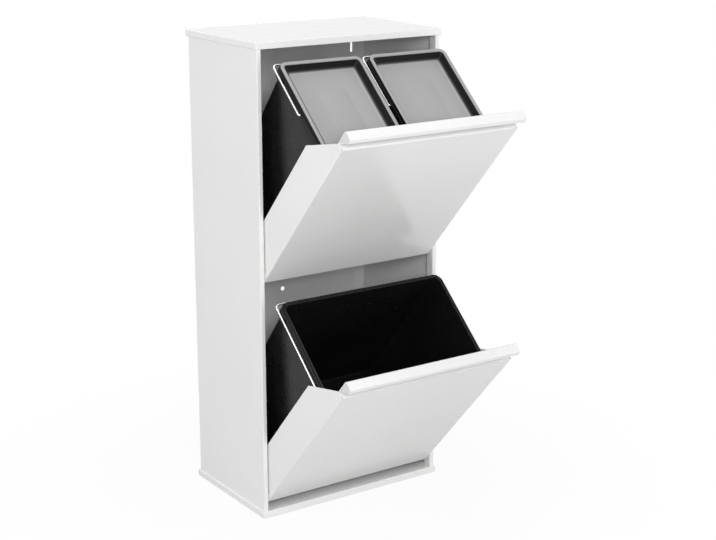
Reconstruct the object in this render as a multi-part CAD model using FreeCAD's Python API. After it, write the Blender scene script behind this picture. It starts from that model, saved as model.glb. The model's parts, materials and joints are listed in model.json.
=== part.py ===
import FreeCAD, Part
import math
import os

from FreeCAD import Vector

# Two-tier tilt-out recycling cabinet of folded sheet steel, with plastic bins.
# Millimetres. X runs to the right, Y to the back, Z up. The origin lies on the floor
# under the middle of the base. Both flaps stand open on their stops.

# Cabinet
CABINET_WIDTH = 406.0
CABINET_DEPTH = 258.0
CABINET_HEIGHT = 900.0
SHEET = 0.8  # thickness of every folded sheet
BEND = 0.8  # inside radius of a fold
PAN_HEIGHT = 13.0  # the top and the base are boxed pans of this height
PAN_LIP = 26.0  # sheet turned in along the underside of a pan
OVERHANG = 3.0  # a pan stands out past the sides and the front
REAR_OVERHANG = 5.0  # and past the back
FRONT_FLANGE = 8.8  # face of a side panel seen from the front
FRONT_RETURN = 18.0  # that flange is turned back this far
REAR_FLANGE = 26.0
END_FLANGE = 20.0  # screwed to the pans
END_FLANGE_GAP = 2.0  # end flange behind the front return
BACK_INSET = 3.2  # edge of the back sheet inside the sides
GLIDE_HEIGHT = 1.5
GLIDE_RADIUS = 10.0
GLIDE_INSET = 15.0  # glide centre from the edge of the base

# Wall fixing in the back panel
HANG_SLOT_WIDTH = 5.0
HANG_SLOT_LENGTH = 28.0
HANG_SLOT_BELOW_TOP = 42.0  # slot centre below the top pan
HANG_SLOT_BESIDE_FLANGE = 2.0  # slot edge from the rear flange
WALL_HOLE_RADIUS = 4.25
WALL_HOLE_HEIGHT = 363.0

# Flaps
OPEN_ANGLE = 42.0  # degrees from closed
FLAP_SIDE_GAP = 2.2
TOP_GAP = 5.0  # upper flap to top pan
MIDDLE_GAP = 15.0  # lower flap to upper flap
BOTTOM_GAP = 19.0  # lower flap to base
PIVOT_IN = 9.0  # pivot behind the front of a flap
PIVOT_UP = 9.0  # pivot above the bottom of a flap
CORNER_BEND = 2.2  # inside radius where the front turns into a wing
WING_DEPTH = 75.0
WING_DROP = 77.0  # the wing's top edge falls this far behind the pull rail
HANDLE_HEIGHT = 34.0  # top of the front sheet to the ridge of the handle
HANDLE_DEPTH = 15.0
HANDLE_BEND = 2.4  # inside radius of the rail's folds
HANDLE_LIP_DROP = 1.5  # ridge down to the lip that is pulled
HANDLE_LIP_OUT = 5.0  # foot of the lip in front of the flap
HANDLE_LIP_SLANT = 1.5  # top of the lip behind its foot
HANDLE_LIP_HEIGHT = 8.5  # front face of the lip
HANDLE_LEG = 26.0  # welded behind the front sheet
HANDLE_NECK = 5.0  # underside of the hollow handle above its shelf
HANDLE_CLOSING_GAP = 1.6  # closing edge short of the back of the rail
HANDLE_END_INSET = 0.5
CAP_DEPTH = 6.0
CAP_RECESS = 1.0
CAP_CLEARANCE = 0.1
TRAY_UP = 4.0
TRAY_DEPTH = 228.0
TRAY_LIP = 20.0
TRAY_NOTCH_WIDTH = 18.0  # front corners left free for the pivots
TRAY_NOTCH_DEPTH = 22.0
TRAY_STRIP = 3.0  # strip across the tray that keeps the bins from sliding forward
TRAY_STRIP_HEIGHT = 8.0
TRAY_STRIP_GAP = 1.0

# Pivots, stops and rests
PIN_RADIUS = 3.5
PIN_HEAD_RADIUS = 6.0
PIN_HEAD = 1.5
BUSH_WALL = 2.0
BUSH_FLANGE_RADIUS = 7.5
BUSH_LENGTH = 3.5  # sleeve from the outside of the wing inwards
CLIP_RADIUS = 6.0
CLIP_THICKNESS = 1.0
CLIP_FROM_END = 1.2
RUNNING_CLEARANCE = 0.05
END_CLEARANCE = 0.3
STOP_UP = 44.0  # stop above the bottom of a flap
STOP_RADIUS = 5.0
STOP_LENGTH = 6.0
REST_WIDTH = 26.0
REST_REACH = 24.0
REST_LEG = 15.0
REST_SHEET = 1.2
REST_FROM_TRAY_END = 20.0
BUFFER_RADIUS = 6.0
BUFFER_HEIGHT = 4.0
BUFFER_FROM_TIP = 8.0

# Fasteners
SCREW_RADIUS = 1.75
SCREW_HEAD_RADIUS = 3.6
SCREW_HEAD = 2.0
SCREW_LENGTH = 5.0
SCREW_END_INSET = 36.0  # first and last screw from the ends of a flange
SCREWS_PER_FLANGE = 3
HEAD_ROUND = 0.6  # rounded share of a head's height
RIVET_RADIUS = 1.6
RIVET_HEAD_RADIUS = 3.2
RIVET_HEAD = 0.9
RIVET_TAIL_RADIUS = 2.3
BACK_RIVETS_PER_SIDE = 5
BACK_RIVET_END_INSET = 90.0
BACK_RIVET_IN = 9.5  # from the outside of the side panel
TRAY_RIVET_IN = 34.0  # first rivet of the tray behind the front
TRAY_RIVET_PITCH = 30.0
TRAY_RIVET_UP = 12.0  # above the underside of the tray

# Bins
BIN_HEIGHT = 322.0
BIN_SEAT = 0.2
BIN_WALL = 2.0
BIN_DRAFT = 11.0  # each side narrows by this much towards the floor
RIM_DEPTH = 221.5
LIFT_GAP = 1.1  # rim clears the pull rail as the bin is lifted out
RIM_SIDE_GAP = 6.2  # wing to rim
RIM_BETWEEN = 13.0  # rim to rim of the two upper bins
RIM_OVERHANG = 6.0  # rim outside of the wall
RIM_SKIRT = 15.0
RIM_CORNER = 18.0
RIM_ROUND = 1.2

# Lids
LID_INSET = 1.5  # lid edge inside the rim edge
LID_HEIGHT = 7.0
LID_WALL = 2.0
LID_BORDER = 7.0
LID_RECESS = 14.0
LID_SLOPE = 7.0  # the recess narrows by this much on each side
LID_CORNER = 14.0
LID_ROUND = 1.2
LID_PANEL_WIDTH = 58.0
LID_PANEL_DEPTH = 104.0
LID_PANEL_HEIGHT = 0.8
LID_PANEL_CORNER = 6.0

# Bails
WIRE_RADIUS = 1.75
LOWER_BAIL_DROP = 9.0  # pivot below the rim
UPPER_BAIL_DROP = 5.0
BAIL_OUT = 3.2  # arm beside the rim
BAIL_HOOK_BEND = 3.0
BAIL_CORNER = 8.0
BAIL_CLEARANCE = 0.9  # crossbar to the rim's edge as it swings over
BAIL_HOOK_IN = 1.6  # hook past the inside of the skirt
LOWER_BAIL_PIVOT = 40.0  # behind the front of the rim
LUG_WIDTH = 12.0
LUG_OUT = 5.0
LUG_HEIGHT = 3.5
LUG_FROM_REAR = 30.0

# Modelling
CUT_MARGIN = 1.0  # a cutting shape reaches this far past the faces it opens
SAME_PLACE = 0.01  # places this close together are one

# Places that follow from the sizes above
side_x = CABINET_WIDTH / 2 - OVERHANG
front_y = -CABINET_DEPTH / 2 + OVERHANG
rear_y = CABINET_DEPTH / 2 - REAR_OVERHANG
base_top = GLIDE_HEIGHT + PAN_HEIGHT
top_under = CABINET_HEIGHT - PAN_HEIGHT
return_x = side_x - FRONT_FLANGE
wing_x = return_x - FLAP_SIDE_GAP
flap_height = (top_under - base_top - BOTTOM_GAP - MIDDLE_GAP - TOP_GAP) / 2
panel_top = flap_height - HANDLE_HEIGHT
lower_bottom = base_top + BOTTOM_GAP
upper_bottom = lower_bottom + flap_height + MIDDLE_GAP
pivot_y = front_y + PIVOT_IN
tray_top = TRAY_UP + SHEET
bin_floor = tray_top + BIN_SEAT
rim_top = bin_floor + BIN_HEIGHT
rail_rear = front_y + HANDLE_DEPTH + SHEET / 2
rim_front = rail_rear + LIFT_GAP
rim_rear = rim_front + RIM_DEPTH
rim_middle = (rim_front + rim_rear) / 2
rim_side = wing_x - SHEET - RIM_SIDE_GAP
small_width = rim_side - RIM_BETWEEN / 2
small_x = (rim_side + RIM_BETWEEN / 2) / 2

ALONG_X = Vector(1, 0, 0)
ALONG_Y = Vector(0, 1, 0)
ALONG_Z = Vector(0, 0, 1)


def block(low, high):
    """A box between two corners."""
    size = Vector(*high) - Vector(*low)
    return Part.makeBox(size.x, size.y, size.z, Vector(*low))


def rod(radius, start, along):
    """A round bar from start, as long as the vector along."""
    return Part.makeCylinder(radius, along.Length, start, along)


def rounded(shape, radius):
    """The same solid with every edge rounded."""
    return shape.makeFillet(radius, shape.Edges)


def mirrored(shape):
    """The same piece on the other side of the cabinet."""
    return shape.mirror(Vector(0, 0, 0), ALONG_X)


def pair(shape):
    """Left and right pieces as one group."""
    return Part.makeCompound([shape, mirrored(shape)])


def spread(first, last, count):
    """Evenly spaced places from first to last."""
    step = (last - first) / (count - 1)
    return [first + step * i for i in range(count)]


def left_of(direction):
    """The direction a quarter turn to the left, in the plane of a folded section."""
    return Vector(-direction.y, direction.x, 0)


def section_side(points, offset, bend):
    """Edges of one side of a folded section, offset to the left of its middle line."""
    radius = bend + SHEET / 2
    runs = [(b - a).normalize() for a, b in zip(points, points[1:])]
    edges = []
    place = points[0] + left_of(runs[0]) * offset
    for corner, before, after in zip(points[1:], runs, runs[1:]):
        turn = math.atan2(before.cross(after).z, before.dot(after))
        setback = radius * math.tan(abs(turn) / 2)
        hand = math.copysign(1, turn)
        begin = corner - before * setback
        centre = begin + left_of(before) * (hand * radius)
        outward = (corner - centre).normalize()
        arc_begin = begin + left_of(before) * offset
        arc_middle = centre + outward * (radius - hand * offset)
        arc_end = corner + after * setback + left_of(after) * offset
        edges.append(Part.LineSegment(place, arc_begin).toShape())
        edges.append(Part.Arc(arc_begin, arc_middle, arc_end).toShape())
        place = arc_end
    edges.append(Part.LineSegment(place, points[-1] + left_of(runs[-1]) * offset).toShape())
    return edges


def folded_section(outline, bend=BEND):
    """Flat section of a folded sheet whose middle line runs through the outline's points."""
    points = [Vector(a, b, 0) for a, b in outline]
    left = section_side(points, SHEET / 2, bend)
    right = section_side(points, -SHEET / 2, bend)
    end = Part.LineSegment(left[-1].Vertexes[-1].Point, right[-1].Vertexes[-1].Point)
    start = Part.LineSegment(right[0].Vertexes[0].Point, left[0].Vertexes[0].Point)
    edges = left + [end.toShape()] + right[::-1] + [start.toShape()]
    return Part.Face(Part.Wire(Part.__sortEdges__(edges)))


def folded_upright(outline, bottom, height, bend=BEND):
    """A sheet folded along upright lines: the outline is in X and Y."""
    section = folded_section(outline, bend)
    section.translate(Vector(0, 0, bottom))
    return section.extrude(Vector(0, 0, height))


def folded_across(outline, half_width, bend=BEND):
    """A sheet folded along lines from side to side: the outline is in Y and Z."""
    section = folded_section(outline, bend)
    section.rotate(Vector(0, 0, 0), Vector(1, 1, 1), 120)
    section.translate(Vector(-half_width, 0, 0))
    return section.extrude(Vector(2 * half_width, 0, 0))


def rounded_rectangle(width, depth, radius, centre_x, centre_y, height):
    """Level wire of a rectangle with round corners."""
    edges = []
    reach_x = width / 2 - radius
    reach_y = depth / 2 - radius
    for quarter in range(4):
        angle = math.radians(90 * quarter)
        sign_x = 1 if quarter in (0, 3) else -1
        sign_y = 1 if quarter in (0, 1) else -1
        centre = Vector(centre_x + sign_x * reach_x, centre_y + sign_y * reach_y, height)
        points = []
        for part in (0, math.pi / 4, math.pi / 2):
            points.append(centre + Vector(math.cos(angle + part), math.sin(angle + part), 0) * radius)
        edges.append(Part.Arc(*points).toShape())
    corners = [(edge.Vertexes[0].Point, edge.Vertexes[-1].Point) for edge in edges]
    for i in range(4):
        edges.append(Part.LineSegment(corners[i][1], corners[(i + 1) % 4][0]).toShape())
    return Part.Wire(Part.__sortEdges__(edges))


def tub(low, high):
    """A solid between two level rounded rectangles."""
    return Part.makeLoft([low, high], True, True)


def plate(width, depth, radius, centre_x, centre_y, bottom, height):
    """A level plate with round corners."""
    wire = rounded_rectangle(width, depth, radius, centre_x, centre_y, bottom)
    return Part.Face(wire).extrude(Vector(0, 0, height))


def fastener(seat, along, head_radius, head, shank_radius, shank):
    """A round-headed fastener: the head stands on its seat, the shank goes along."""
    head_solid = rod(head_radius, seat - along * head, along * head)
    crown = seat - along * head
    crown_edges = [edge for edge in head_solid.Edges if edge.CenterOfMass.isEqual(crown, SAME_PLACE)]
    domed = head_solid.makeFillet(head * HEAD_ROUND, crown_edges)
    return domed.fuse(rod(shank_radius, seat, along * shank)).removeSplitter()


def rivet(seat, along, grip):
    """A rivet with a head on each side of the sheets that it grips."""
    body = fastener(seat, along, RIVET_HEAD_RADIUS, RIVET_HEAD, RIVET_RADIUS, grip)
    tail = rod(RIVET_TAIL_RADIUS, seat + along * grip, along * RIVET_HEAD)
    return body.fuse(tail).removeSplitter()


def drilled(shape, radius, places, along, length):
    """The shape with round holes bored both ways through each place."""
    for place in places:
        shape = shape.cut(rod(radius, place - along * length, along * (2 * length)))
    return shape


def hung(shape, bottom):
    """A piece drawn in a closed flap that stands on z = 0, put in its place and tilted open."""
    piece = shape.copy()
    piece.translate(Vector(0, 0, bottom))
    piece.rotate(Vector(0, pivot_y, bottom + PIVOT_UP), ALONG_X, OPEN_ANGLE)
    return piece


# Cabinet pieces

def pan_screw_places(height):
    """Screws that hold the end flanges of the side panels to a pan."""
    x = side_x - SHEET - END_FLANGE / 2
    rows = spread(front_y + SCREW_END_INSET, rear_y - SCREW_END_INSET, SCREWS_PER_FLANGE)
    return [Vector(side * x, y, height) for side in (-1, 1) for y in rows]


def pan(bottom, screw_height):
    """The top or the base: a sheet with its edges folded down and in again."""
    half_width = CABINET_WIDTH / 2
    half_depth = CABINET_DEPTH / 2
    outside = block((-half_width, -half_depth, 0), (half_width, half_depth, PAN_HEIGHT))
    inner_width = half_width - SHEET
    inner_depth = half_depth - SHEET
    inside = block((-inner_width, -inner_depth, SHEET), (inner_width, inner_depth, PAN_HEIGHT - SHEET))
    mouth_width = half_width - PAN_LIP
    mouth_depth = half_depth - PAN_LIP
    mouth = block((-mouth_width, -mouth_depth, -CUT_MARGIN), (mouth_width, mouth_depth, 2 * SHEET))
    shell = rounded(outside, BEND + SHEET).cut(rounded(inside, BEND)).cut(mouth)
    shell.translate(Vector(0, 0, bottom))
    return drilled(shell, SCREW_RADIUS, pan_screw_places(screw_height), ALONG_Z, SHEET * 2)


def side_flange_places():
    """Rivets along the rear flange, for the back panel."""
    x = side_x - BACK_RIVET_IN
    rows = spread(base_top + BACK_RIVET_END_INSET, top_under - BACK_RIVET_END_INSET, BACK_RIVETS_PER_SIDE)
    return [Vector(-x, rear_y, z) for z in rows]


def rest_top(bottom):
    """Height of the bracket that carries a closed flap's tray."""
    return bottom + TRAY_UP - END_CLEARANCE - BUFFER_HEIGHT


def side_panel():
    """Left side: a sheet with a returned front flange, a rear flange and end flanges."""
    half = SHEET / 2
    skin = -side_x + half
    front = front_y + half
    turned_in = -return_x - half
    section = [
        (turned_in, front_y + FRONT_RETURN),
        (turned_in, front),
        (skin, front),
        (skin, rear_y - half),
        (-side_x + REAR_FLANGE, rear_y - half),
    ]
    panel = folded_upright(section, base_top, top_under - base_top)
    flange_front = front_y + FRONT_RETURN + END_FLANGE_GAP
    flange_rear = rear_y - SHEET
    for low in (base_top, top_under - SHEET):
        flange = block(
            (-side_x + half, flange_front, low),
            (-side_x + SHEET + END_FLANGE, flange_rear, low + SHEET),
        )
        panel = panel.fuse(flange)
    panel = panel.removeSplitter()
    panel = drilled(panel, SCREW_RADIUS, pan_screw_places(base_top), ALONG_Z, SHEET * 2)
    panel = drilled(panel, SCREW_RADIUS, pan_screw_places(top_under), ALONG_Z, SHEET * 2)
    panel = drilled(panel, RIVET_RADIUS, side_flange_places(), ALONG_Y, SHEET * 2)
    for bottom in (lower_bottom, upper_bottom):
        pivot = Vector(-return_x, pivot_y, bottom + PIVOT_UP)
        panel = drilled(panel, PIN_RADIUS, [pivot], ALONG_X, SHEET * 2)
    return panel


def back_panel():
    """Back sheet, riveted behind the rear flanges, with its wall-fixing openings."""
    half_width = side_x - BACK_INSET
    sheet = block((-half_width, rear_y, base_top), (half_width, rear_y + SHEET, top_under))
    left_places = side_flange_places()
    right_places = [Vector(-place.x, place.y, place.z) for place in left_places]
    sheet = drilled(sheet, RIVET_RADIUS, left_places + right_places, ALONG_Y, SHEET * 2)
    hole = Vector(0, rear_y, WALL_HOLE_HEIGHT)
    sheet = drilled(sheet, WALL_HOLE_RADIUS, [hole], ALONG_Y, SHEET * 2)
    slot_x = side_x - REAR_FLANGE - HANG_SLOT_BESIDE_FLANGE - HANG_SLOT_WIDTH / 2
    slot_round = HANG_SLOT_WIDTH / 2
    slot_end = HANG_SLOT_LENGTH / 2 - slot_round
    slot = block((-slot_round, -CUT_MARGIN, -slot_end), (slot_round, SHEET + CUT_MARGIN, slot_end))
    for end in (-slot_end, slot_end):
        slot = slot.fuse(rod(slot_round, Vector(0, -CUT_MARGIN, end), ALONG_Y * (SHEET + 2 * CUT_MARGIN)))
    slot.translate(Vector(-slot_x, rear_y, top_under - HANG_SLOT_BELOW_TOP))
    return sheet.cut(slot).cut(mirrored(slot))


def glides():
    """Four plastic glides stuck under the lips of the base."""
    x = CABINET_WIDTH / 2 - GLIDE_INSET
    y = CABINET_DEPTH / 2 - GLIDE_INSET
    places = [Vector(i * x, j * y, 0) for i in (-1, 1) for j in (-1, 1)]
    return Part.makeCompound([rod(GLIDE_RADIUS, place, ALONG_Z * GLIDE_HEIGHT) for place in places])


def pan_screws(seat_height, along):
    """Screws through the end flanges into a pan."""
    screws = []
    for place in pan_screw_places(seat_height):
        screws.append(fastener(place, along, SCREW_HEAD_RADIUS, SCREW_HEAD, SCREW_RADIUS, SCREW_LENGTH))
    return Part.makeCompound(screws)


def back_rivets():
    """Rivets of the back panel, with their heads outside."""
    rivets = []
    for place in side_flange_places():
        left = rivet(place + ALONG_Y * SHEET, ALONG_Y * -1, SHEET * 2)
        rivets += [left, mirrored(left)]
    return Part.makeCompound(rivets)


def pivot_pins(bottom):
    """Shouldered pins riveted into the front returns."""
    outside = Vector(-return_x - SHEET, pivot_y, bottom + PIVOT_UP)
    reach = SHEET + FLAP_SIDE_GAP + BUSH_LENGTH + END_CLEARANCE + CLIP_THICKNESS + CLIP_FROM_END
    head = rod(PIN_HEAD_RADIUS, outside - ALONG_X * PIN_HEAD, ALONG_X * PIN_HEAD)
    return pair(head.fuse(rod(PIN_RADIUS, outside, ALONG_X * reach)).removeSplitter())


def pivot_clips(bottom):
    """Retaining rings on the inner ends of the pins."""
    start = Vector(-wing_x + BUSH_LENGTH + END_CLEARANCE, pivot_y, bottom + PIVOT_UP)
    ring = rod(CLIP_RADIUS, start, ALONG_X * CLIP_THICKNESS)
    return pair(ring.cut(rod(PIN_RADIUS, start, ALONG_X * CLIP_THICKNESS)))


def rest_brackets(bottom):
    """Angle brackets spot-welded to the side panels, under the rear of a closed tray."""
    middle = front_y + TRAY_DEPTH - REST_FROM_TRAY_END
    top = rest_top(bottom)
    wall = -side_x + SHEET
    leg = block(
        (wall, middle - REST_WIDTH / 2, top - REST_LEG),
        (wall + REST_SHEET, middle + REST_WIDTH / 2, top),
    )
    ledge = block(
        (wall, middle - REST_WIDTH / 2, top - REST_SHEET),
        (wall + REST_REACH, middle + REST_WIDTH / 2, top),
    )
    return pair(leg.fuse(ledge).removeSplitter())


def rest_buffers(bottom):
    """Rubber buffers on the rest brackets."""
    x = -side_x + SHEET + REST_REACH - BUFFER_FROM_TIP
    y = front_y + TRAY_DEPTH - REST_FROM_TRAY_END
    start = Vector(x, y, rest_top(bottom))
    return pair(rod(BUFFER_RADIUS, start, ALONG_Z * BUFFER_HEIGHT))


# Flap pieces, drawn closed with the bottom of the flap at z = 0

def stop_place():
    """Middle of the stop on the wing, so that it meets the front return when fully open."""
    angle = math.radians(OPEN_ANGLE)
    open_y = front_y + FRONT_RETURN + STOP_RADIUS + END_CLEARANCE
    up = STOP_UP - PIVOT_UP
    back = (open_y - pivot_y + up * math.sin(angle)) / math.cos(angle)
    return Vector(-wing_x, pivot_y + back, STOP_UP)


def tray_rivet_places():
    """Rivets between the tray's side lips and the wings."""
    height = TRAY_UP + TRAY_RIVET_UP
    rows = [front_y + TRAY_RIVET_IN, front_y + TRAY_RIVET_IN + TRAY_RIVET_PITCH]
    return [Vector(-wing_x, y, height) for y in rows]


def flap_front():
    """Front sheet of a flap with its two wings folded back."""
    half = SHEET / 2
    wing = wing_x - half
    front = front_y + half
    rear = front_y + WING_DEPTH
    section = [(-wing, rear), (-wing, front), (wing, front), (wing, rear)]
    sheet = folded_upright(section, 0, panel_top, CORNER_BEND)
    cut_from = rail_rear + END_CLEARANCE
    corners = [
        Vector(-CABINET_WIDTH, cut_from, panel_top),
        Vector(-CABINET_WIDTH, rear, panel_top - WING_DROP),
        Vector(-CABINET_WIDTH, rear + SHEET, panel_top - WING_DROP),
        Vector(-CABINET_WIDTH, rear + SHEET, panel_top + SHEET),
        Vector(-CABINET_WIDTH, cut_from, panel_top + SHEET),
    ]
    above = Part.Face(Part.makePolygon(corners + corners[:1])).extrude(ALONG_X * (2 * CABINET_WIDTH))
    sheet = sheet.cut(above)
    pivot = Vector(-wing_x, pivot_y, PIVOT_UP)
    sheet = drilled(sheet, PIN_RADIUS + BUSH_WALL, [pivot], ALONG_X, 2 * CABINET_WIDTH)
    sheet = drilled(sheet, RIVET_RADIUS, tray_rivet_places() + [stop_place()], ALONG_X, 2 * CABINET_WIDTH)
    return sheet


def handle_outline():
    """Corners of the handle's section in Y and Z, from its welded leg to its closing edge."""
    half = SHEET / 2
    leg = front_y + SHEET + half
    shelf = panel_top - half
    back = front_y + HANDLE_DEPTH
    ridge = flap_height - half
    lip = front_y - HANDLE_LIP_OUT
    return [
        (leg, panel_top - HANDLE_LEG),
        (leg, shelf),
        (back, shelf),
        (back, ridge),
        (lip + HANDLE_LIP_SLANT, ridge - HANDLE_LIP_DROP),
        (lip, ridge - HANDLE_LIP_DROP - HANDLE_LIP_HEIGHT),
        (back - HANDLE_CLOSING_GAP, panel_top + HANDLE_NECK),
    ]


def flap_handle():
    """Hollow pull rail along the top of a flap, folded from one strip."""
    rail = folded_across(handle_outline(), wing_x - HANDLE_END_INSET, HANDLE_BEND)
    wing_inside = -wing_x + SHEET + END_CLEARANCE
    top = panel_top + END_CLEARANCE
    low = panel_top - 2 * HANDLE_LEG
    corner = front_y + SHEET + CORNER_BEND + END_CLEARANCE
    for reach_x, reach_y in ((wing_inside + CORNER_BEND, corner), (wing_inside, rail_rear + END_CLEARANCE)):
        relief = block((-wing_x, front_y, low), (reach_x, reach_y, top))
        rail = rail.cut(relief).cut(mirrored(relief))
    return rail


def handle_caps():
    """Plugs pressed into the open ends of the pull rail."""
    back = handle_outline()[2]
    ridge, lip, nose, closing = [Vector(0, y, z) for y, z in handle_outline()[3:]]
    slope = (closing.z - nose.z) / (closing.y - nose.y)
    neck = Vector(0, back[0], nose.z + slope * (back[0] - nose.y))
    outline = Part.makePolygon([ridge, lip, nose, neck, ridge])
    inside = outline.makeOffset2D(-SHEET / 2 - CAP_CLEARANCE)
    start = -wing_x + HANDLE_END_INSET + CAP_RECESS
    plug = Part.Face(inside).extrude(ALONG_X * CAP_DEPTH)
    long_edges = [edge for edge in plug.Edges if edge.BoundBox.XLength > CAP_DEPTH / 2]
    plug = plug.makeFillet(HANDLE_BEND, long_edges)
    plug.translate(ALONG_X * start)
    return pair(plug)


def flap_tray():
    """Shelf under the bins: a floor with raised lips, notched for the pivots."""
    half_width = wing_x - SHEET
    front = front_y + SHEET
    rear = front_y + TRAY_DEPTH
    top = TRAY_UP + TRAY_LIP
    outside = block((-half_width, front, TRAY_UP), (half_width, rear, top))
    inside = block(
        (-half_width + SHEET, front + SHEET, tray_top),
        (half_width - SHEET, rear - SHEET, top + CUT_MARGIN),
    )
    tray = outside.cut(inside)
    notch = block(
        (-half_width - CUT_MARGIN, front - CUT_MARGIN, 0),
        (-half_width + TRAY_NOTCH_WIDTH, front + TRAY_NOTCH_DEPTH, top + CUT_MARGIN),
    )
    tray = tray.cut(notch).cut(mirrored(notch))
    foot = rim_front + RIM_OVERHANG + BIN_DRAFT - TRAY_STRIP_GAP
    strip = block(
        (-half_width + SHEET / 2, foot - TRAY_STRIP, TRAY_UP + SHEET / 2),
        (half_width - SHEET / 2, foot, tray_top + TRAY_STRIP_HEIGHT),
    )
    tray = tray.fuse(strip).removeSplitter()
    return drilled(tray, RIVET_RADIUS, tray_rivet_places(), ALONG_X, 2 * CABINET_WIDTH)


def tray_rivets():
    """Rivets through the wings into the tray."""
    rivets = []
    for place in tray_rivet_places():
        left = rivet(place, ALONG_X, SHEET * 2)
        rivets += [left, mirrored(left)]
    return Part.makeCompound(rivets)


def pivot_bushes():
    """Flanged nylon bushes in the wings."""
    wing = Vector(-wing_x, pivot_y, PIVOT_UP)
    flange_length = FLAP_SIDE_GAP - END_CLEARANCE
    flange = rod(BUSH_FLANGE_RADIUS, wing - ALONG_X * flange_length, ALONG_X * flange_length)
    sleeve = rod(PIN_RADIUS + BUSH_WALL, wing, ALONG_X * BUSH_LENGTH)
    bush = flange.fuse(sleeve).removeSplitter()
    return pair(drilled(bush, PIN_RADIUS + RUNNING_CLEARANCE, [wing], ALONG_X, BUSH_FLANGE_RADIUS))


def stop_sleeves():
    """Plastic sleeves on the wings that meet the front returns when the flap is open."""
    start = stop_place() - ALONG_X * STOP_LENGTH
    sleeve = rod(STOP_RADIUS, start, ALONG_X * STOP_LENGTH)
    return pair(sleeve.cut(rod(RIVET_RADIUS, start, ALONG_X * STOP_LENGTH)))


def stop_rivets():
    """Rivets that hold the stop sleeves to the wings."""
    return pair(rivet(stop_place() - ALONG_X * STOP_LENGTH, ALONG_X, STOP_LENGTH + SHEET))


# Bins, lids and bails, drawn in a closed flap as well

def top_edges(shape, height):
    """Edges that lie at one height."""
    level = [edge for edge in shape.Edges if edge.BoundBox.ZLength < SAME_PLACE]
    return [edge for edge in level if abs(edge.BoundBox.ZMin - height) < SAME_PLACE]


def bin_shell(centre_x, width, bail_pivot, bail_drop, lug_places):
    """A tapered plastic bin with a skirted rim, bail holes and bail rests."""
    narrower = 2 * RIM_OVERHANG
    tapered = narrower + 2 * BIN_DRAFT
    corner = RIM_CORNER - RIM_OVERHANG
    inset = 2 * BIN_WALL
    outside = tub(
        rounded_rectangle(width - tapered, RIM_DEPTH - tapered, corner, centre_x, rim_middle, bin_floor),
        rounded_rectangle(width - narrower, RIM_DEPTH - narrower, corner, centre_x, rim_middle, rim_top),
    )
    tapered += inset
    narrower += inset
    corner -= BIN_WALL
    floor = bin_floor + BIN_WALL
    inside = tub(
        rounded_rectangle(width - tapered, RIM_DEPTH - tapered, corner, centre_x, rim_middle, floor),
        rounded_rectangle(width - narrower, RIM_DEPTH - narrower, corner, centre_x, rim_middle, rim_top),
    )
    skirt_low = rim_top - RIM_SKIRT
    rim = plate(width, RIM_DEPTH, RIM_CORNER, centre_x, rim_middle, skirt_low, RIM_SKIRT)
    rim = rim.makeFillet(RIM_ROUND, top_edges(rim, rim_top))
    hollow = plate(
        width - inset, RIM_DEPTH - inset, RIM_CORNER - BIN_WALL, centre_x, rim_middle,
        skirt_low, RIM_SKIRT - BIN_WALL,
    )
    shell = outside.fuse(rim.cut(hollow)).cut(inside)
    bail_up = rim_top - bail_drop
    lug_top = bail_up - WIRE_RADIUS - END_CLEARANCE
    for side in (-1, 1):
        skirt_x = centre_x + side * width / 2
        for y in lug_places:
            ends = sorted([skirt_x - side * BIN_WALL / 2, skirt_x + side * LUG_OUT])
            lug = block(
                (ends[0], y - LUG_WIDTH / 2, lug_top - LUG_HEIGHT),
                (ends[1], y + LUG_WIDTH / 2, lug_top),
            )
            shell = shell.fuse(lug)
        hole = Vector(skirt_x, bail_pivot, bail_up)
        shell = drilled(shell, WIRE_RADIUS + RUNNING_CLEARANCE, [hole], ALONG_X, BIN_WALL + CUT_MARGIN)
    return shell.removeSplitter()


def lid(centre_x, width):
    """A lid that rests on the rim, with a raised border round a sunk panel."""
    outer_width = width - 2 * LID_INSET
    outer_depth = RIM_DEPTH - 2 * LID_INSET
    low = rim_top + BIN_SEAT
    high = low + LID_HEIGHT
    inset = 2 * LID_WALL
    outside = plate(outer_width, outer_depth, LID_CORNER, centre_x, rim_middle, low, LID_HEIGHT)
    outside = outside.makeFillet(LID_ROUND, top_edges(outside, high))
    hollow = plate(
        outer_width - inset, outer_depth - inset, LID_CORNER - LID_WALL, centre_x, rim_middle,
        low, LID_HEIGHT - LID_WALL,
    )
    border = 2 * LID_BORDER
    sunk = border + 2 * LID_SLOPE
    corner = LID_CORNER - LID_BORDER
    floor = high - LID_RECESS
    pocket = tub(
        rounded_rectangle(outer_width - sunk, outer_depth - sunk, corner, centre_x, rim_middle, floor),
        rounded_rectangle(outer_width - border, outer_depth - border, corner, centre_x, rim_middle, high),
    )
    wall = tub(
        rounded_rectangle(
            outer_width - sunk + inset, outer_depth - sunk + inset, corner + LID_WALL,
            centre_x, rim_middle, floor - LID_WALL,
        ),
        rounded_rectangle(
            outer_width - border + inset, outer_depth - border + inset, corner + LID_WALL,
            centre_x, rim_middle, high - LID_WALL,
        ),
    )
    shell = outside.cut(hollow).fuse(wall).cut(pocket)
    panel = plate(
        LID_PANEL_WIDTH, LID_PANEL_DEPTH, LID_PANEL_CORNER, centre_x, rim_middle,
        floor - LID_WALL / 2, LID_WALL / 2 + LID_PANEL_HEIGHT,
    )
    return shell.fuse(panel).removeSplitter()


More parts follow.
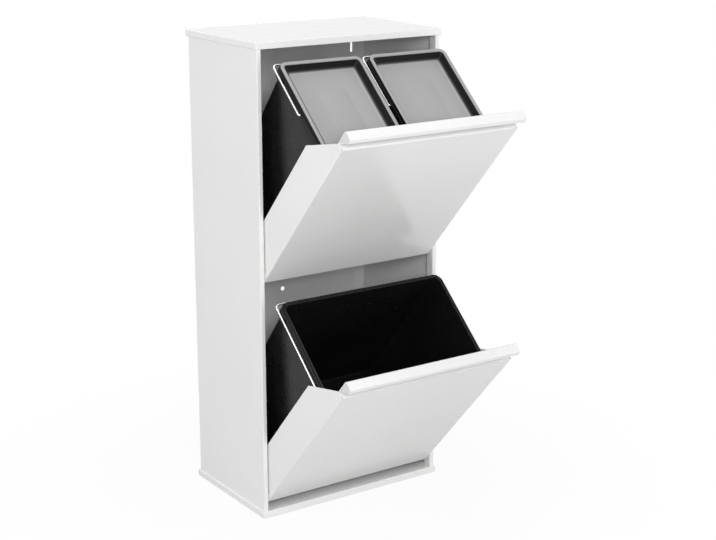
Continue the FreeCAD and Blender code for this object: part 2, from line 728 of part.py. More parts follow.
def bail(centre_x, width, pivot, drop):
    """A wire handle, hooked into the skirt of the rim and folded to the rear."""
    arm = width / 2 + BAIL_OUT
    hook = width / 2 - BIN_WALL - BAIL_HOOK_IN
    reach = math.hypot(drop, rim_rear - pivot) + WIRE_RADIUS + BAIL_CLEARANCE
    rear = pivot + reach
    route = [(-hook, pivot), (-arm, pivot), (-arm, rear), (arm, rear), (arm, pivot), (hook, pivot)]
    points = [Vector(centre_x + x, y, rim_top - drop) for x, y in route]
    radii = [BAIL_HOOK_BEND, BAIL_CORNER, BAIL_CORNER, BAIL_HOOK_BEND]
    edges = []
    place = points[0]
    for i, radius in enumerate(radii):
        corner = points[i + 1]
        before = (corner - points[i]).normalize()
        after = (points[i + 2] - corner).normalize()
        begin = corner - before * radius
        end = corner + after * radius
        centre = begin + after * radius
        edges.append(Part.LineSegment(place, begin).toShape())
        edges.append(Part.Arc(begin, centre + (corner - centre).normalize() * radius, end).toShape())
        place = end
    edges.append(Part.LineSegment(place, points[-1]).toShape())
    circle = Part.Wire(Part.makeCircle(WIRE_RADIUS, points[0], ALONG_X))
    return Part.Wire(edges).makePipeShell([circle], True, False)


# The whole cabinet, piece by piece

nodes = {
    "base_panel": pan(GLIDE_HEIGHT, base_top),
    "floor_glides": glides(),
    "left_side_panel": side_panel(),
    "right_side_panel": mirrored(side_panel()),
    "back_panel": back_panel(),
    "back_rivets": back_rivets(),
    "base_screws": pan_screws(base_top + SHEET, ALONG_Z * -1),
    "top_panel": pan(top_under, top_under),
    "top_screws": pan_screws(top_under - SHEET, ALONG_Z),
}

for tier, bottom in (("lower", lower_bottom), ("upper", upper_bottom)):
    nodes[tier + "_pivot_pins"] = pivot_pins(bottom)
    nodes[tier + "_pivot_clips"] = pivot_clips(bottom)
    nodes[tier + "_rest_brackets"] = rest_brackets(bottom)
    nodes[tier + "_rest_buffers"] = rest_buffers(bottom)
    nodes[tier + "_flap_front"] = hung(flap_front(), bottom)
    nodes[tier + "_flap_handle"] = hung(flap_handle(), bottom)
    nodes[tier + "_handle_caps"] = hung(handle_caps(), bottom)
    nodes[tier + "_flap_tray"] = hung(flap_tray(), bottom)
    nodes[tier + "_tray_rivets"] = hung(tray_rivets(), bottom)
    nodes[tier + "_pivot_bushes"] = hung(pivot_bushes(), bottom)
    nodes[tier + "_stop_sleeves"] = hung(stop_sleeves(), bottom)
    nodes[tier + "_stop_rivets"] = hung(stop_rivets(), bottom)

rear_lug = rim_rear - LUG_FROM_REAR
front_lug = rim_front + LUG_FROM_REAR
lower_pivot = rim_front + LOWER_BAIL_PIVOT
wide_bin = bin_shell(0, 2 * rim_side, lower_pivot, LOWER_BAIL_DROP, [rear_lug])
nodes["lower_bin"] = hung(wide_bin, lower_bottom)
nodes["lower_bail"] = hung(bail(0, 2 * rim_side, lower_pivot, LOWER_BAIL_DROP), lower_bottom)

for hand, x in (("left", -small_x), ("right", small_x)):
    name = "upper_" + hand
    small_bin = bin_shell(x, small_width, rim_middle, UPPER_BAIL_DROP, [front_lug, rear_lug])
    nodes[name + "_bin"] = hung(small_bin, upper_bottom)
    nodes[name + "_lid"] = hung(lid(x, small_width), upper_bottom)
    nodes[name + "_bail"] = hung(bail(x, small_width, rim_middle, UPPER_BAIL_DROP), upper_bottom)

os.makedirs("parts", exist_ok=True)
for name, shape in nodes.items():
    shape.exportStep("parts/" + name + ".step")
    state = "valid" if shape.isValid() else "NOT VALID"
    print(f"{name}: {len(shape.Solids)} solids, {shape.Volume / 1000:.2f} cm3, {state}")
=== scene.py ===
import json
import math

import bmesh
import bpy
from mathutils import Matrix, Vector


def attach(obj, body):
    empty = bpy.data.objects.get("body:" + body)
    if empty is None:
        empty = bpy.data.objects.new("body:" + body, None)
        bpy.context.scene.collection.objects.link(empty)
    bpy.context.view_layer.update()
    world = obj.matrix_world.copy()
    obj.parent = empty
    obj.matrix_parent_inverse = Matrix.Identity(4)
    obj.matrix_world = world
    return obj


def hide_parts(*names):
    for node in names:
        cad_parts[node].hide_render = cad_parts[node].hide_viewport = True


# Two-tier tilt-out recycling cabinet of white sheet steel with black plastic bins, both flaps open.
# Metres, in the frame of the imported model: X to the right, Y to the back, Z up.
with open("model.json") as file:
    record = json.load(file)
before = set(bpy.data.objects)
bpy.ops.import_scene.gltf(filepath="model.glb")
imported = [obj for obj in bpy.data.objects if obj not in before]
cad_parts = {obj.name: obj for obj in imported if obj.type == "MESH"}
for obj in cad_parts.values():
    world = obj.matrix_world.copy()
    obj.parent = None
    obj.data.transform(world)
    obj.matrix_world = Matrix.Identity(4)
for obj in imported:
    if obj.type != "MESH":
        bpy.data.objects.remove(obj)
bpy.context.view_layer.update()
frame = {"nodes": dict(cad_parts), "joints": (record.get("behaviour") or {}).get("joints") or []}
nodes = frame["nodes"]

# Cabinet shell: a base pan, two side panels, a back and a top pan, folded from thin steel sheet.
# The sheets are sprayed with white powder and baked, which leaves a glossy skin with a faint
# orange peel.
COAT_COLOUR = (0.87, 0.87, 0.865, 1.0)
COAT_SHADE = (0.85, 0.85, 0.845, 1.0)
COAT_ROUGHNESS = (0.16, 0.24)
COAT_PEEL = 0.00002  # height of the orange peel
CLOUD_SCALE = 5.0  # slow drift of a finish over a panel, in waves per metre
PATCH_SCALE = 35.0  # duller and glossier patches
PEEL_SCALE = 320.0
CLOUD_RANGE = (0.35, 0.65)  # most of the noise lies between these
PATCH_RANGE = (0.3, 0.7)


def shader_group(name, inputs, outputs):
    """A new node group with its named sockets, and its input and output nodes."""
    tree = bpy.data.node_groups.new(name, "ShaderNodeTree")
    for label, kind, value in inputs:
        socket = tree.interface.new_socket(label, in_out="INPUT", socket_type="NodeSocket" + kind)
        socket.default_value = value
    for label, kind in outputs:
        tree.interface.new_socket(label, in_out="OUTPUT", socket_type="NodeSocket" + kind)
    return tree, tree.nodes.new("NodeGroupInput"), tree.nodes.new("NodeGroupOutput")


def noise(tree, place, scale, detail):
    """Noise value in 3-D over the given coordinates."""
    node = tree.nodes.new("ShaderNodeTexNoise")
    node.inputs["Scale"].default_value = scale
    node.inputs["Detail"].default_value = detail
    tree.links.new(place, node.inputs["Vector"])
    return node.outputs["Fac"]


def spread(tree, value, low, high, to_low, to_high):
    """A value moved from one range to another, and held inside it. The new range may be linked."""
    node = tree.nodes.new("ShaderNodeMapRange")
    tree.links.new(value, node.inputs["Value"])
    for label, end in (("From Min", low), ("From Max", high), ("To Min", to_low), ("To Max", to_high)):
        if isinstance(end, bpy.types.NodeSocket):
            tree.links.new(end, node.inputs[label])
        else:
            node.inputs[label].default_value = end
    return node.outputs["Result"]


def mixed(tree, factor, first, second):
    """Two colours mixed by a factor."""
    node = tree.nodes.new("ShaderNodeMix")
    node.data_type = "RGBA"
    tree.links.new(factor, node.inputs["Factor"])
    tree.links.new(first, node.inputs["A"])
    tree.links.new(second, node.inputs["B"])
    return node.outputs["Result"]


def bumped(tree, height, distance):
    """Normal of a surface with this relief, whose distance is a socket."""
    node = tree.nodes.new("ShaderNodeBump")
    tree.links.new(height, node.inputs["Height"])
    tree.links.new(distance, node.inputs["Distance"])
    return node.outputs["Normal"]


def relief_group(name, fine_scale):
    """A skin with a slow drift of colour and gloss and a fine relief."""
    tree, given, made = shader_group(
        name,
        [
            ("Colour", "Color", (0.8, 0.8, 0.8, 1.0)),
            ("Shade", "Color", (0.7, 0.7, 0.7, 1.0)),
            ("Smoothest", "Float", 0.2),
            ("Roughest", "Float", 0.3),
            ("Relief", "Float", 0.00002),
        ],
        [("Color", "Color"), ("Roughness", "Float"), ("Normal", "Vector")],
    )
    place = tree.nodes.new("ShaderNodeTexCoord").outputs["Object"]
    drift = spread(tree, noise(tree, place, CLOUD_SCALE, detail=3.0), *CLOUD_RANGE, 0.0, 1.0)
    colour = mixed(tree, drift, given.outputs["Colour"], given.outputs["Shade"])
    patches = noise(tree, place, PATCH_SCALE, detail=4.0)
    gloss = spread(tree, patches, *PATCH_RANGE, given.outputs["Smoothest"], given.outputs["Roughest"])
    normal = bumped(tree, noise(tree, place, fine_scale, detail=2.0), given.outputs["Relief"])
    tree.links.new(colour, made.inputs["Color"])
    tree.links.new(gloss, made.inputs["Roughness"])
    tree.links.new(normal, made.inputs["Normal"])
    return tree


def finish_of(name, group, colour, shade, roughness, relief):
    """A material whose surface comes from a relief group. Returns it with its shader and group node."""
    material = bpy.data.materials.new(name)
    material.use_nodes = True
    tree = material.node_tree
    shader = tree.nodes["Principled BSDF"]
    skin = tree.nodes.new("ShaderNodeGroup")
    skin.node_tree = group
    skin.inputs["Colour"].default_value = colour
    skin.inputs["Shade"].default_value = shade
    skin.inputs["Smoothest"].default_value = roughness[0]
    skin.inputs["Roughest"].default_value = roughness[1]
    skin.inputs["Relief"].default_value = relief
    tree.links.new(skin.outputs["Color"], shader.inputs["Base Color"])
    tree.links.new(skin.outputs["Roughness"], shader.inputs["Roughness"])
    tree.links.new(skin.outputs["Normal"], shader.inputs["Normal"])
    return material, shader, skin


def dress(material, *names):
    """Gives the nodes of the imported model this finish."""
    for name in names:
        for place in nodes[name].material_slots:
            place.material = material


sprayed_skin = relief_group("sprayed_skin", PEEL_SCALE)
white_coat, _, _ = finish_of(
    "white_powder_coat", sprayed_skin, COAT_COLOUR, COAT_SHADE, COAT_ROUGHNESS, COAT_PEEL
)
dress(white_coat, "base_panel", "left_side_panel", "right_side_panel", "back_panel", "top_panel")

# Floor glides: four grey polythene discs stuck under the lips of the base pan.
# They keep the steel off the floor and let the cabinet slide.
GLIDE_COLOUR = (0.18, 0.18, 0.18, 1.0)
GLIDE_SHADE = (0.14, 0.14, 0.14, 1.0)
GLIDE_ROUGHNESS = (0.45, 0.6)
GLIDE_GRAIN = 0.00003  # height of the grain
GRAIN_SCALE = 900.0

moulded_skin = relief_group("moulded_skin", GRAIN_SCALE)
glide_plastic, _, _ = finish_of(
    "glide_polythene", moulded_skin, GLIDE_COLOUR, GLIDE_SHADE, GLIDE_ROUGHNESS, GLIDE_GRAIN
)
dress(glide_plastic, "floor_glides")

# Screws, rivets, pivot pins and retaining rings: small steel hardware, plated with zinc.
# The plating is bright grey and a little cloudy.
ZINC_COLOUR = (0.62, 0.63, 0.65, 1.0)
ZINC_SHADE = (0.5, 0.51, 0.53, 1.0)
ZINC_ROUGHNESS = (0.25, 0.42)
ZINC_GRAIN = 0.00001

zinc, zinc_shader, _ = finish_of(
    "zinc_plate", moulded_skin, ZINC_COLOUR, ZINC_SHADE, ZINC_ROUGHNESS, ZINC_GRAIN
)
zinc_shader.inputs["Metallic"].default_value = 1.0
dress(zinc, "base_screws", "top_screws", "back_rivets")
for tier in ("lower", "upper"):
    for hardware in ("pivot_pins", "pivot_clips", "tray_rivets", "stop_rivets"):
        dress(zinc, f"{tier}_{hardware}")

# Rest brackets with their buffers: steel angles spot-welded inside the side panels and sprayed
# with them, each with a round black rubber buffer that carries the closed flap's tray.
RUBBER_COLOUR = (0.02, 0.02, 0.02, 1.0)
RUBBER_SHADE = (0.035, 0.035, 0.035, 1.0)
RUBBER_ROUGHNESS = (0.7, 0.85)
RUBBER_GRAIN = 0.00005

buffer_rubber, _, _ = finish_of(
    "buffer_rubber", moulded_skin, RUBBER_COLOUR, RUBBER_SHADE, RUBBER_ROUGHNESS, RUBBER_GRAIN
)
for tier in ("lower", "upper"):
    dress(white_coat, f"{tier}_rest_brackets")
    dress(buffer_rubber, f"{tier}_rest_buffers")

# Flaps: a front sheet with two wings folded back, a hollow pull rail welded along its top and a
# tray riveted between the wings. All three are steel, in the same white powder coat.
for tier in ("lower", "upper"):
    dress(white_coat, f"{tier}_flap_front", f"{tier}_flap_handle", f"{tier}_flap_tray")

# Small plastics of the flaps: white plugs in the ends of the pull rail, nylon bushes that turn on
# the pivot pins, and nylon sleeves that meet the front returns when a flap is open.
PLUG_COLOUR = (0.74, 0.74, 0.73, 1.0)
PLUG_SHADE = (0.7, 0.7, 0.69, 1.0)
PLUG_ROUGHNESS = (0.35, 0.45)
NYLON_COLOUR = (0.68, 0.67, 0.62, 1.0)
NYLON_SHADE = (0.6, 0.59, 0.54, 1.0)
NYLON_ROUGHNESS = (0.4, 0.5)
FINE_GRAIN = 0.00002

plug_plastic, _, _ = finish_of(
    "plug_plastic", moulded_skin, PLUG_COLOUR, PLUG_SHADE, PLUG_ROUGHNESS, FINE_GRAIN
)
nylon, _, _ = finish_of(
    "nylon", moulded_skin, NYLON_COLOUR, NYLON_SHADE, NYLON_ROUGHNESS, FINE_GRAIN
)
for tier in ("lower", "upper"):
    dress(plug_plastic, f"{tier}_handle_caps")
    dress(nylon, f"{tier}_pivot_bushes", f"{tier}_stop_sleeves")

# Bins: tapered tubs moulded in black polypropylene, one wide and two narrow. Each has a skirted
# grooved rim with a hole on each side for its bail and lugs that the folded bail rests on.
BIN_COLOUR = (0.006, 0.006, 0.006, 1.0)
BIN_SHADE = (0.009, 0.009, 0.0088, 1.0)
BIN_ROUGHNESS = (0.24, 0.34)
BIN_SPECULAR = 0.17
BIN_WALL = 0.002
RIM_OVERHANG = 0.006  # rim outside of the wall
RIM_SKIRT = 0.015
RIM_CORNER = 0.018
RIM_ROUND = 0.0018
RIM_GROOVE = 0.0012  # depth of the groove along the top of the rim
RIM_FALL = 0.0002  # rims and borders fall this much towards the outside, so that water runs off
BIN_DRAFT = 0.011  # each side narrows by this much towards the floor
FLOOR_ROUND = 0.005
FOOT_ROUND = 0.004
LEDGE = 0.028  # ledge at each end of the wide bin's floor
LEDGE_HEIGHT = 0.005
LEDGE_ROUND = LEDGE_HEIGHT * 0.45
LUG_OUT = 0.005
LUG_WIDTH = 0.012
LUG_HEIGHT = 0.0035
LUG_ROUND = LUG_HEIGHT / 6
LUG_FROM_END = 0.030
LUG_BELOW_BAIL = 0.00205  # the folded bail lies on the lugs
BOSS_RADIUS = 0.004
BOSS_TIP_RADIUS = 0.0036
BOSS_OUT = 0.0008
BOSS_STEPS = 24
CORNER_STEPS = 8
ROUND_STEPS = 5
EDGE_STEPS = 2
LEAST_CORNER = 1 / 3  # share of a corner that stays, however far a section goes in
SHARP_ANGLE = 35.0  # degrees between faces, from which an edge isn't shaded smooth

joints = {joint["name"]: joint for joint in frame["joints"]}


def closing_turn(tier):
    """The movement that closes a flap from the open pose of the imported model."""
    joint = joints[f"{tier}_flap_tilt"]
    pivot = Matrix.Translation(joint["pos_m"])
    turn = Matrix.Rotation(math.radians(joint["range_deg"][0]), 4, Vector(joint["axis"]))
    return pivot @ turn @ pivot.inverted()


def closed_box(node, tier):
    """Lowest and highest corner of a node when its flap is closed."""
    turn = closing_turn(tier)
    places = [turn @ vertex.co for vertex in nodes[node].data.vertices]
    low = Vector([min(place[axis] for place in places) for axis in range(3)])
    high = Vector([max(place[axis] for place in places) for axis in range(3)])
    return low, high


def ring(bm, middle, width, depth, corner, height):
    """A level face with round corners."""
    before = set(bm.faces)
    square = bmesh.ops.create_grid(bm, x_segments=1, y_segments=1, size=0.5)["verts"]
    bmesh.ops.scale(bm, vec=(width, depth, 1.0), verts=square)
    bmesh.ops.translate(bm, vec=(middle[0], middle[1], height), verts=square)
    bmesh.ops.bevel(
        bm,
        geom=square,
        offset=corner,
        affect="VERTICES",
        segments=CORNER_STEPS,
        profile=0.5,
        material=-1,
    )
    return next(face for face in bm.faces if face not in before)


def arc(centre, radius, begin, end):
    """Points of a round stretch of a section, as (inset, height)."""
    points = []
    for step in range(ROUND_STEPS + 1):
        angle = math.radians(begin + (end - begin) * step / ROUND_STEPS)
        points.append((centre[0] + radius * math.cos(angle), centre[1] + radius * math.sin(angle)))
    return points


def moulding(bm, middle, width, depth, corner, section):
    """Skin through level rings, one for each (inset, height) of a section, with both ends closed."""
    rings = []
    for inset, height in section:
        round_off = max(corner - inset, corner * LEAST_CORNER)
        rings.append(ring(bm, middle, width - 2 * inset, depth - 2 * inset, round_off, height))
    edges = [list(face.edges) for face in rings]
    bmesh.ops.delete(bm, geom=rings[1:-1], context="FACES_ONLY")
    for first, second in zip(edges, edges[1:]):
        bmesh.ops.bridge_loops(bm, edges=first + second)
    bmesh.ops.recalc_face_normals(bm, faces=bm.faces)


def small_block(bm, low, high, edge):
    """A block with rounded edges between two corners."""
    size = Vector(high) - Vector(low)
    verts = bmesh.ops.create_cube(bm, size=1.0)["verts"]
    bmesh.ops.scale(bm, vec=size, verts=verts)
    bmesh.ops.translate(bm, vec=(Vector(low) + Vector(high)) / 2, verts=verts)
    edges = list({e for v in verts for e in v.link_edges})
    bmesh.ops.bevel(
        bm, geom=edges, offset=edge, affect="EDGES", segments=EDGE_STEPS, profile=0.5, material=-1
    )


def piece_from(bm, name, tier, material, body, node):
    """An object from a mesh drawn in the closed flap, turned open and put in place of a node."""
    bmesh.ops.transform(bm, matrix=closing_turn(tier).inverted(), verts=bm.verts)
    mesh = bpy.data.meshes.new(name)
    bm.to_mesh(mesh)
    bm.free()
    mesh.shade_smooth()
    mesh.set_sharp_from_angle(angle=math.radians(SHARP_ANGLE))
    mesh.materials.append(material)
    piece = bpy.data.objects.new(name, mesh)
    bpy.context.scene.collection.objects.link(piece)
    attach(piece, body)
    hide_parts(node)
    return piece


def bin_section(floor, rim):
    """Inset and height from the middle of the inner floor, over the rim, to the outer floor."""
    def wall(height):
        return RIM_OVERHANG + BIN_DRAFT * (rim - height) / (rim - floor)

    inner_floor = floor + BIN_WALL
    inner_low = inner_floor + FLOOR_ROUND
    inner_wall = wall(inner_low) + BIN_WALL
    top_wall = wall(rim) + BIN_WALL
    under = rim - BIN_WALL
    skirt_low = rim - RIM_SKIRT
    section = arc((inner_wall + FLOOR_ROUND, inner_low), FLOOR_ROUND, 270, 180)
    section += arc((top_wall - RIM_ROUND, rim - RIM_ROUND), RIM_ROUND, 0, 90)
    section += [(top_wall - RIM_ROUND - RIM_GROOVE, rim - RIM_GROOVE)]
    section += [(RIM_ROUND + RIM_GROOVE, rim - RIM_GROOVE - RIM_FALL)]
    section += arc((RIM_ROUND, rim - RIM_FALL - RIM_ROUND), RIM_ROUND, 90, 180)
    section += [(0.0, skirt_low), (BIN_WALL, skirt_low + RIM_FALL)]
    section += [(BIN_WALL, under - RIM_FALL), (wall(under), under)]
    foot = wall(floor + FOOT_ROUND)
    section += arc((foot + FOOT_ROUND, floor + FOOT_ROUND), FOOT_ROUND, 180, 270)
    return section


bin_plastic, bin_shader, _ = finish_of(
    "bin_polypropylene", moulded_skin, BIN_COLOUR, BIN_SHADE, BIN_ROUGHNESS, FINE_GRAIN
)
bin_shader.inputs["Specular IOR Level"].default_value = BIN_SPECULAR


def make_bin(name, tier, bail, lug_ends, ledge=0.0):
    """One bin in place of its node, with bosses, lugs and, where given, ledges on its floor."""
    low, high = closed_box(name, tier)
    middle = (low + high) / 2
    width = high.x - low.x - 2 * LUG_OUT
    bm = bmesh.new()
    moulding(bm, middle, width, high.y - low.y, RIM_CORNER, bin_section(low.z, high.z))
    pivot = closing_turn(tier) @ Vector(bail["pos_m"])
    inner = RIM_OVERHANG + BIN_DRAFT + BIN_WALL / 2  # to the middle of the wall at the floor
    for side in (-1, 1):
        skirt = middle.x + side * width / 2
        if ledge:
            ends = sorted([skirt - side * inner, skirt - side * (inner + ledge)])
            small_block(
                bm,
                (ends[0], low.y + inner, low.z + BIN_WALL / 2),
                (ends[1], high.y - inner, low.z + BIN_WALL + LEDGE_HEIGHT),
                LEDGE_ROUND,
            )
        outward = Matrix.Rotation(side * math.pi / 2, 4, "Y")
        bmesh.ops.create_cone(
            bm,
            cap_ends=True,
            segments=BOSS_STEPS,
            radius1=BOSS_RADIUS,
            radius2=BOSS_TIP_RADIUS,
            depth=2 * BOSS_OUT,
            matrix=Matrix.Translation((skirt, pivot.y, pivot.z)) @ outward,
        )
        for end in lug_ends:
            lug_y = (high.y - LUG_FROM_END) if end > 0 else (low.y + LUG_FROM_END)
            ends = sorted([skirt - side * BIN_WALL / 2, skirt + side * LUG_OUT])
            lug_top = pivot.z - LUG_BELOW_BAIL
            small_block(
                bm,
                (ends[0], lug_y - LUG_WIDTH / 2, lug_top - LUG_HEIGHT),
                (ends[1], lug_y + LUG_WIDTH / 2, lug_top),
                LUG_ROUND,
            )
    piece_from(bm, name + "_moulding", tier, bin_plastic, name, name)


make_bin("lower_bin", "lower", joints["lower_bail_swing"], [1], LEDGE)
for hand in ("left", "right"):
    make_bin(f"upper_{hand}_bin", "upper", joints[f"upper_{hand}_bail_swing"], [-1, 1])

# Lids: shallow trays moulded in grey plastic that rest on the rims of the narrow bins.
# A rounded border runs round a sunk panel with a low raised field in its middle. Border and panel
# are grained. Their pale grey is a painted reflection of the bright surroundings, and the dark of the
# plain walls between them and at their foot is painted shade.
# Greys of the lid by level: the pale ones are a painted reflection, the dark ones painted shade.
LID_PANEL_REFLECTION_GREY = (0.39, 0.39, 0.39, 1.0)
LID_BORDER_REFLECTION_GREY = (0.38, 0.38, 0.38, 1.0)
LID_WALL_SHADE_GREY = (0.005, 0.005, 0.005, 1.0)
LID_FOOT_SHADE_GREY = (0.1, 0.1, 0.1, 1.0)
LID_LOW_WALL_SHADE_GREY = (0.022, 0.022, 0.022, 1.0)
LID_PAINTED_LIGHT_BANDS = [
    (0.075, LID_PANEL_REFLECTION_GREY),
    (0.16, LID_FOOT_SHADE_GREY),
    (0.3, LID_LOW_WALL_SHADE_GREY),
    (0.42, LID_WALL_SHADE_GREY),
    (0.88, LID_WALL_SHADE_GREY),
    (0.95, LID_BORDER_REFLECTION_GREY),
]  # level between panel and border, and the grey painted there: painted reflection on panel and border, painted shade on the foot and walls
LID_ROUGHNESS = (0.36, 0.46)
LID_GRAIN = 0.00003
LID_SPECULAR = 0.1
LID_WALL = 0.002
LID_BORDER = 0.007
LID_SLOPE = 0.007
LID_LEAN = 25.0  # degrees of the sunk walls from upright
LID_CORNER = 0.014
LID_ROUND = 0.0016
LID_FLOOR_ROUND = 0.008
LID_HEIGHT = 0.007  # border above the rim of the bin
FIELD_WIDTH = 0.058
FIELD_DEPTH = 0.104
FIELD_HEIGHT = 0.0008
FIELD_EDGE = 0.002  # width of the sloping edge of the field
FIELD_CORNER = 0.006


def lid_section(panel_under, border):
    """Inset and height from the middle of the sunk panel, over the border, to the underside."""
    panel = panel_under + LID_WALL
    skirt_low = border - LID_HEIGHT
    sunk = LID_BORDER + LID_SLOPE
    foot = (sunk + LID_FLOOR_ROUND, panel + LID_FLOOR_ROUND)
    section = arc(foot, LID_FLOOR_ROUND, 270, 180 + LID_LEAN)
    section += arc((LID_BORDER - LID_ROUND, border - LID_ROUND), LID_ROUND, LID_LEAN, 90)
    section += arc((LID_ROUND, border - RIM_FALL - LID_ROUND), LID_ROUND, 90, 180)
    section += [(0.0, skirt_low), (LID_WALL, skirt_low + RIM_FALL)]
    section += [(LID_WALL, border - LID_WALL - RIM_FALL), (LID_BORDER - LID_WALL, border - LID_WALL)]
    section += [(sunk - LID_WALL, panel_under)]
    return section


def banded(tree, level, stops):
    """Colour along a level from 0 to 1, in bands between the stops."""
    ramp = tree.nodes.new("ShaderNodeValToRGB")
    tree.links.new(level, ramp.inputs["Fac"])
    steps = ramp.color_ramp.elements
    for _ in stops[2:]:
        steps.new(0.5)
    for step, (at, colour) in zip(steps, stops):
        step.position = at
        step.color = colour
    return ramp.outputs["Color"]


def lid_painted_light_material(tier, panel, border):
    """Grey plastic with painted light: a painted reflection makes the grained panel and border pale,
    and painted shade makes the plain walls dark.
    """
    material, shader, skin = finish_of(
        "lid_plastic_painted_light", moulded_skin, LID_PANEL_REFLECTION_GREY, LID_PANEL_REFLECTION_GREY, LID_ROUGHNESS, LID_GRAIN
    )
    tree = material.node_tree
    place = tree.nodes.new("ShaderNodeTexCoord").outputs["Object"]
    turn = tree.nodes.new("ShaderNodeMapping")
    closing = closing_turn(tier)
    turn.inputs["Rotation"].default_value = closing.to_euler()
    turn.inputs["Location"].default_value = closing.to_translation()
    tree.links.new(place, turn.inputs["Vector"])
    parts = tree.nodes.new("ShaderNodeSeparateXYZ")
    tree.links.new(turn.outputs["Vector"], parts.inputs["Vector"])
    level = spread(tree, parts.outputs["Z"], panel, border, 0.0, 1.0)
    # The grey is painted by level: painted reflection on the panel and border, painted shade on the
    # walls and at their foot.
    painted_light_greys = banded(tree, level, LID_PAINTED_LIGHT_BANDS)
    tree.links.new(painted_light_greys, skin.inputs["Colour"])
    tree.links.new(painted_light_greys, skin.inputs["Shade"])
    shader.inputs["Specular IOR Level"].default_value = LID_SPECULAR
    return material


lid_low, lid_high = closed_box("upper_left_lid", "upper")
lid_plastic_painted_light = lid_painted_light_material("upper", lid_low.z + LID_WALL, lid_high.z)
for hand in ("left", "right"):
    name = f"upper_{hand}_lid"
    low, high = closed_box(name, "upper")
    middle = (low + high) / 2
    bm = bmesh.new()
    moulding(bm, middle, high.x - low.x, high.y - low.y, LID_CORNER, lid_section(low.z, high.z))
    panel = low.z + LID_WALL
    field = [(0.0, panel - LID_WALL / 2), (0.0, panel), (FIELD_EDGE, panel + FIELD_HEIGHT)]
    moulding(bm, middle, FIELD_WIDTH, FIELD_DEPTH, FIELD_CORNER, field)
    piece_from(bm, name + "_moulding", "upper", lid_plastic_painted_light, name, name)

# Bails: handles of round steel wire, bent to a wide U and plated bright.
# Their ends hook into the skirts of the bins, and they lie folded to the rear.
WIRE_COLOUR = (0.86, 0.86, 0.87, 1.0)
WIRE_SHADE = (0.78, 0.78, 0.79, 1.0)
WIRE_ROUGHNESS = (0.14, 0.22)
WIRE_GRAIN = 0.000005

bright_wire, wire_shader, _ = finish_of(
    "bright_wire", moulded_skin, WIRE_COLOUR, WIRE_SHADE, WIRE_ROUGHNESS, WIRE_GRAIN
)
wire_shader.inputs["Metallic"].default_value = 1.0
dress(bright_wire, "lower_bail", "upper_left_bail", "upper_right_bail")

# Studio: a white floor that runs out of sight, a soft white surround and five lamps.
# Floor and surround look white to the camera and in reflections, and the floor keeps the shadow.
FLOOR_SIZE = 60.0
FLOOR_WHITE = (0.85, 0.85, 0.85, 1.0)
FLOOR_BOUNCE = (0.64, 0.64, 0.64, 1.0)  # to the light that it throws back onto the object
FLOOR_GLOW = 0.92  # share of plain white where the floor is looked at, near the object
SHADOW_REACH = (0.3, 0.8)  # from here to there the floor turns to plain white
AMBIENT = 0.33
LAMPS = [
    ("front_lamp", 46.0, 0.7, 0.9, (-1.35, -2.68, 1.5)),
    ("overhead_lamp", 21.0, 1.6, 1.6, (0.0, 0.3, 3.0)),
    ("right_fill", 15.0, 1.0, 1.0, (2.0, -1.6, 0.9)),
    ("left_fill", 14.0, 1.0, 1.0, (-2.4, -0.2, 1.7)),
    ("rear_lamp", 10.0, 1.5, 1.5, (-1.6, 2.7, 1.5)),
]  # name, power, width, height, place
LAMP_TARGET = (0.0, 0.0, 0.5)


def seen_directly(tree):
    """1 for camera, mirror and glass rays, 0 for the light that falls on the object."""
    rays = tree.nodes.new("ShaderNodeLightPath")
    total = rays.outputs["Is Camera Ray"]
    for kind in ("Is Glossy Ray", "Is Transmission Ray"):
        either = tree.nodes.new("ShaderNodeMath")
        either.operation = "MAXIMUM"
        tree.links.new(total, either.inputs[0])
        tree.links.new(rays.outputs[kind], either.inputs[1])
        total = either.outputs["Value"]
    return total


floor_paper = bpy.data.materials.new("floor_paper")
floor_paper.use_nodes = True
tree = floor_paper.node_tree
tree.nodes.remove(tree.nodes["Principled BSDF"])
paper = tree.nodes.new("ShaderNodeBsdfDiffuse")
seen = seen_directly(tree)
tone = tree.nodes.new("ShaderNodeMix")
tone.data_type = "RGBA"
tone.inputs["A"].default_value = FLOOR_BOUNCE
tone.inputs["B"].default_value = FLOOR_WHITE
tree.links.new(seen, tone.inputs["Factor"])
tree.links.new(tone.outputs["Result"], paper.inputs["Color"])
glow = tree.nodes.new("ShaderNodeEmission")
distance = tree.nodes.new("ShaderNodeVectorMath")
distance.operation = "LENGTH"
tree.links.new(tree.nodes.new("ShaderNodeTexCoord").outputs["Object"], distance.inputs[0])
white_share = spread(tree, distance.outputs["Value"], *SHADOW_REACH, FLOOR_GLOW, 1.0)
share = tree.nodes.new("ShaderNodeMath")
share.operation = "MULTIPLY"
tree.links.new(white_share, share.inputs[1])
tree.links.new(seen, share.inputs[0])
both = tree.nodes.new("ShaderNodeMixShader")
tree.links.new(share.outputs["Value"], both.inputs["Fac"])
tree.links.new(paper.outputs["BSDF"], both.inputs[1])
tree.links.new(glow.outputs["Emission"], both.inputs[2])
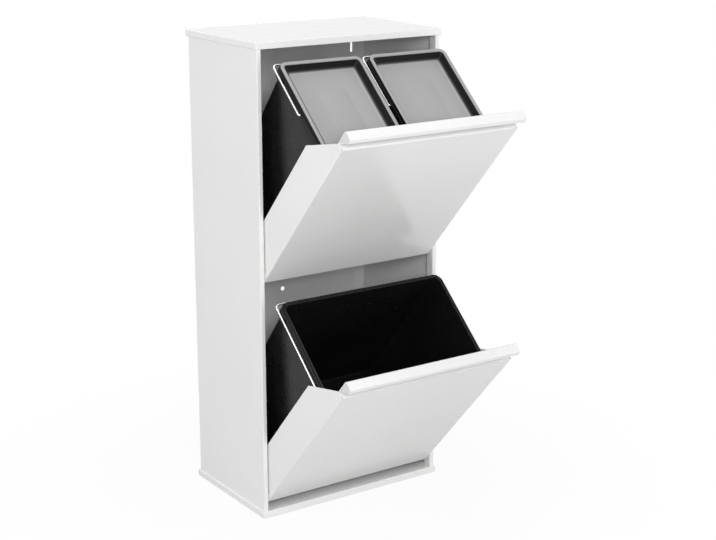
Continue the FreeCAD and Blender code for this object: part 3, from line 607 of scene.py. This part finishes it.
tree.links.new(both.outputs["Shader"], tree.nodes["Material Output"].inputs["Surface"])

bm = bmesh.new()
bmesh.ops.create_grid(bm, x_segments=1, y_segments=1, size=FLOOR_SIZE / 2)
floor_mesh = bpy.data.meshes.new("studio_floor")
bm.to_mesh(floor_mesh)
bm.free()
floor_mesh.materials.append(floor_paper)
floor = bpy.data.objects.new("studio_floor", floor_mesh)
bpy.context.scene.collection.objects.link(floor)

world = bpy.data.worlds.new("studio_surround")
bpy.context.scene.world = world
world.use_nodes = True
tree = world.node_tree
surround = tree.nodes["Background"]
strength = spread(tree, seen_directly(tree), 0.0, 1.0, AMBIENT, 1.0)
tree.links.new(strength, surround.inputs["Strength"])
surround.inputs["Color"].default_value = (1.0, 1.0, 1.0, 1.0)

for name, power, width, height, place in LAMPS:
    lamp_data = bpy.data.lights.new(name, "AREA")
    lamp_data.energy = power
    lamp_data.shape = "RECTANGLE"
    lamp_data.size = width
    lamp_data.size_y = height
    lamp = bpy.data.objects.new(name, lamp_data)
    lamp.location = place
    lamp.rotation_euler = (Vector(LAMP_TARGET) - Vector(place)).to_track_quat("-Z", "Y").to_euler()
    bpy.context.scene.collection.objects.link(lamp)

# Camera: stands to the left in front of the cabinet, a little above its top, and looks down at it.
# The focal length is given in pixels of the 716 x 540 frame.
FRAME_WIDTH = 716.0
FOCAL_PIXELS = 1517.0
CAMERA_PLACE = (-1.553, -2.409, 1.217)
CAMERA_PITCH = 15.36  # degrees below the horizon
CAMERA_YAW = -34.47  # degrees, turned to the right
SENSOR_WIDTH = 36.0

camera_data = bpy.data.cameras.new("camera")
camera_data.sensor_width = SENSOR_WIDTH
camera_data.lens = SENSOR_WIDTH * FOCAL_PIXELS / FRAME_WIDTH
camera = bpy.data.objects.new("camera", camera_data)
camera.location = CAMERA_PLACE
camera.rotation_euler = (math.radians(90 - CAMERA_PITCH), 0.0, math.radians(CAMERA_YAW))
bpy.context.scene.collection.objects.link(camera)
bpy.context.scene.camera = camera
bpy.context.scene.view_settings.view_transform = "Standard"
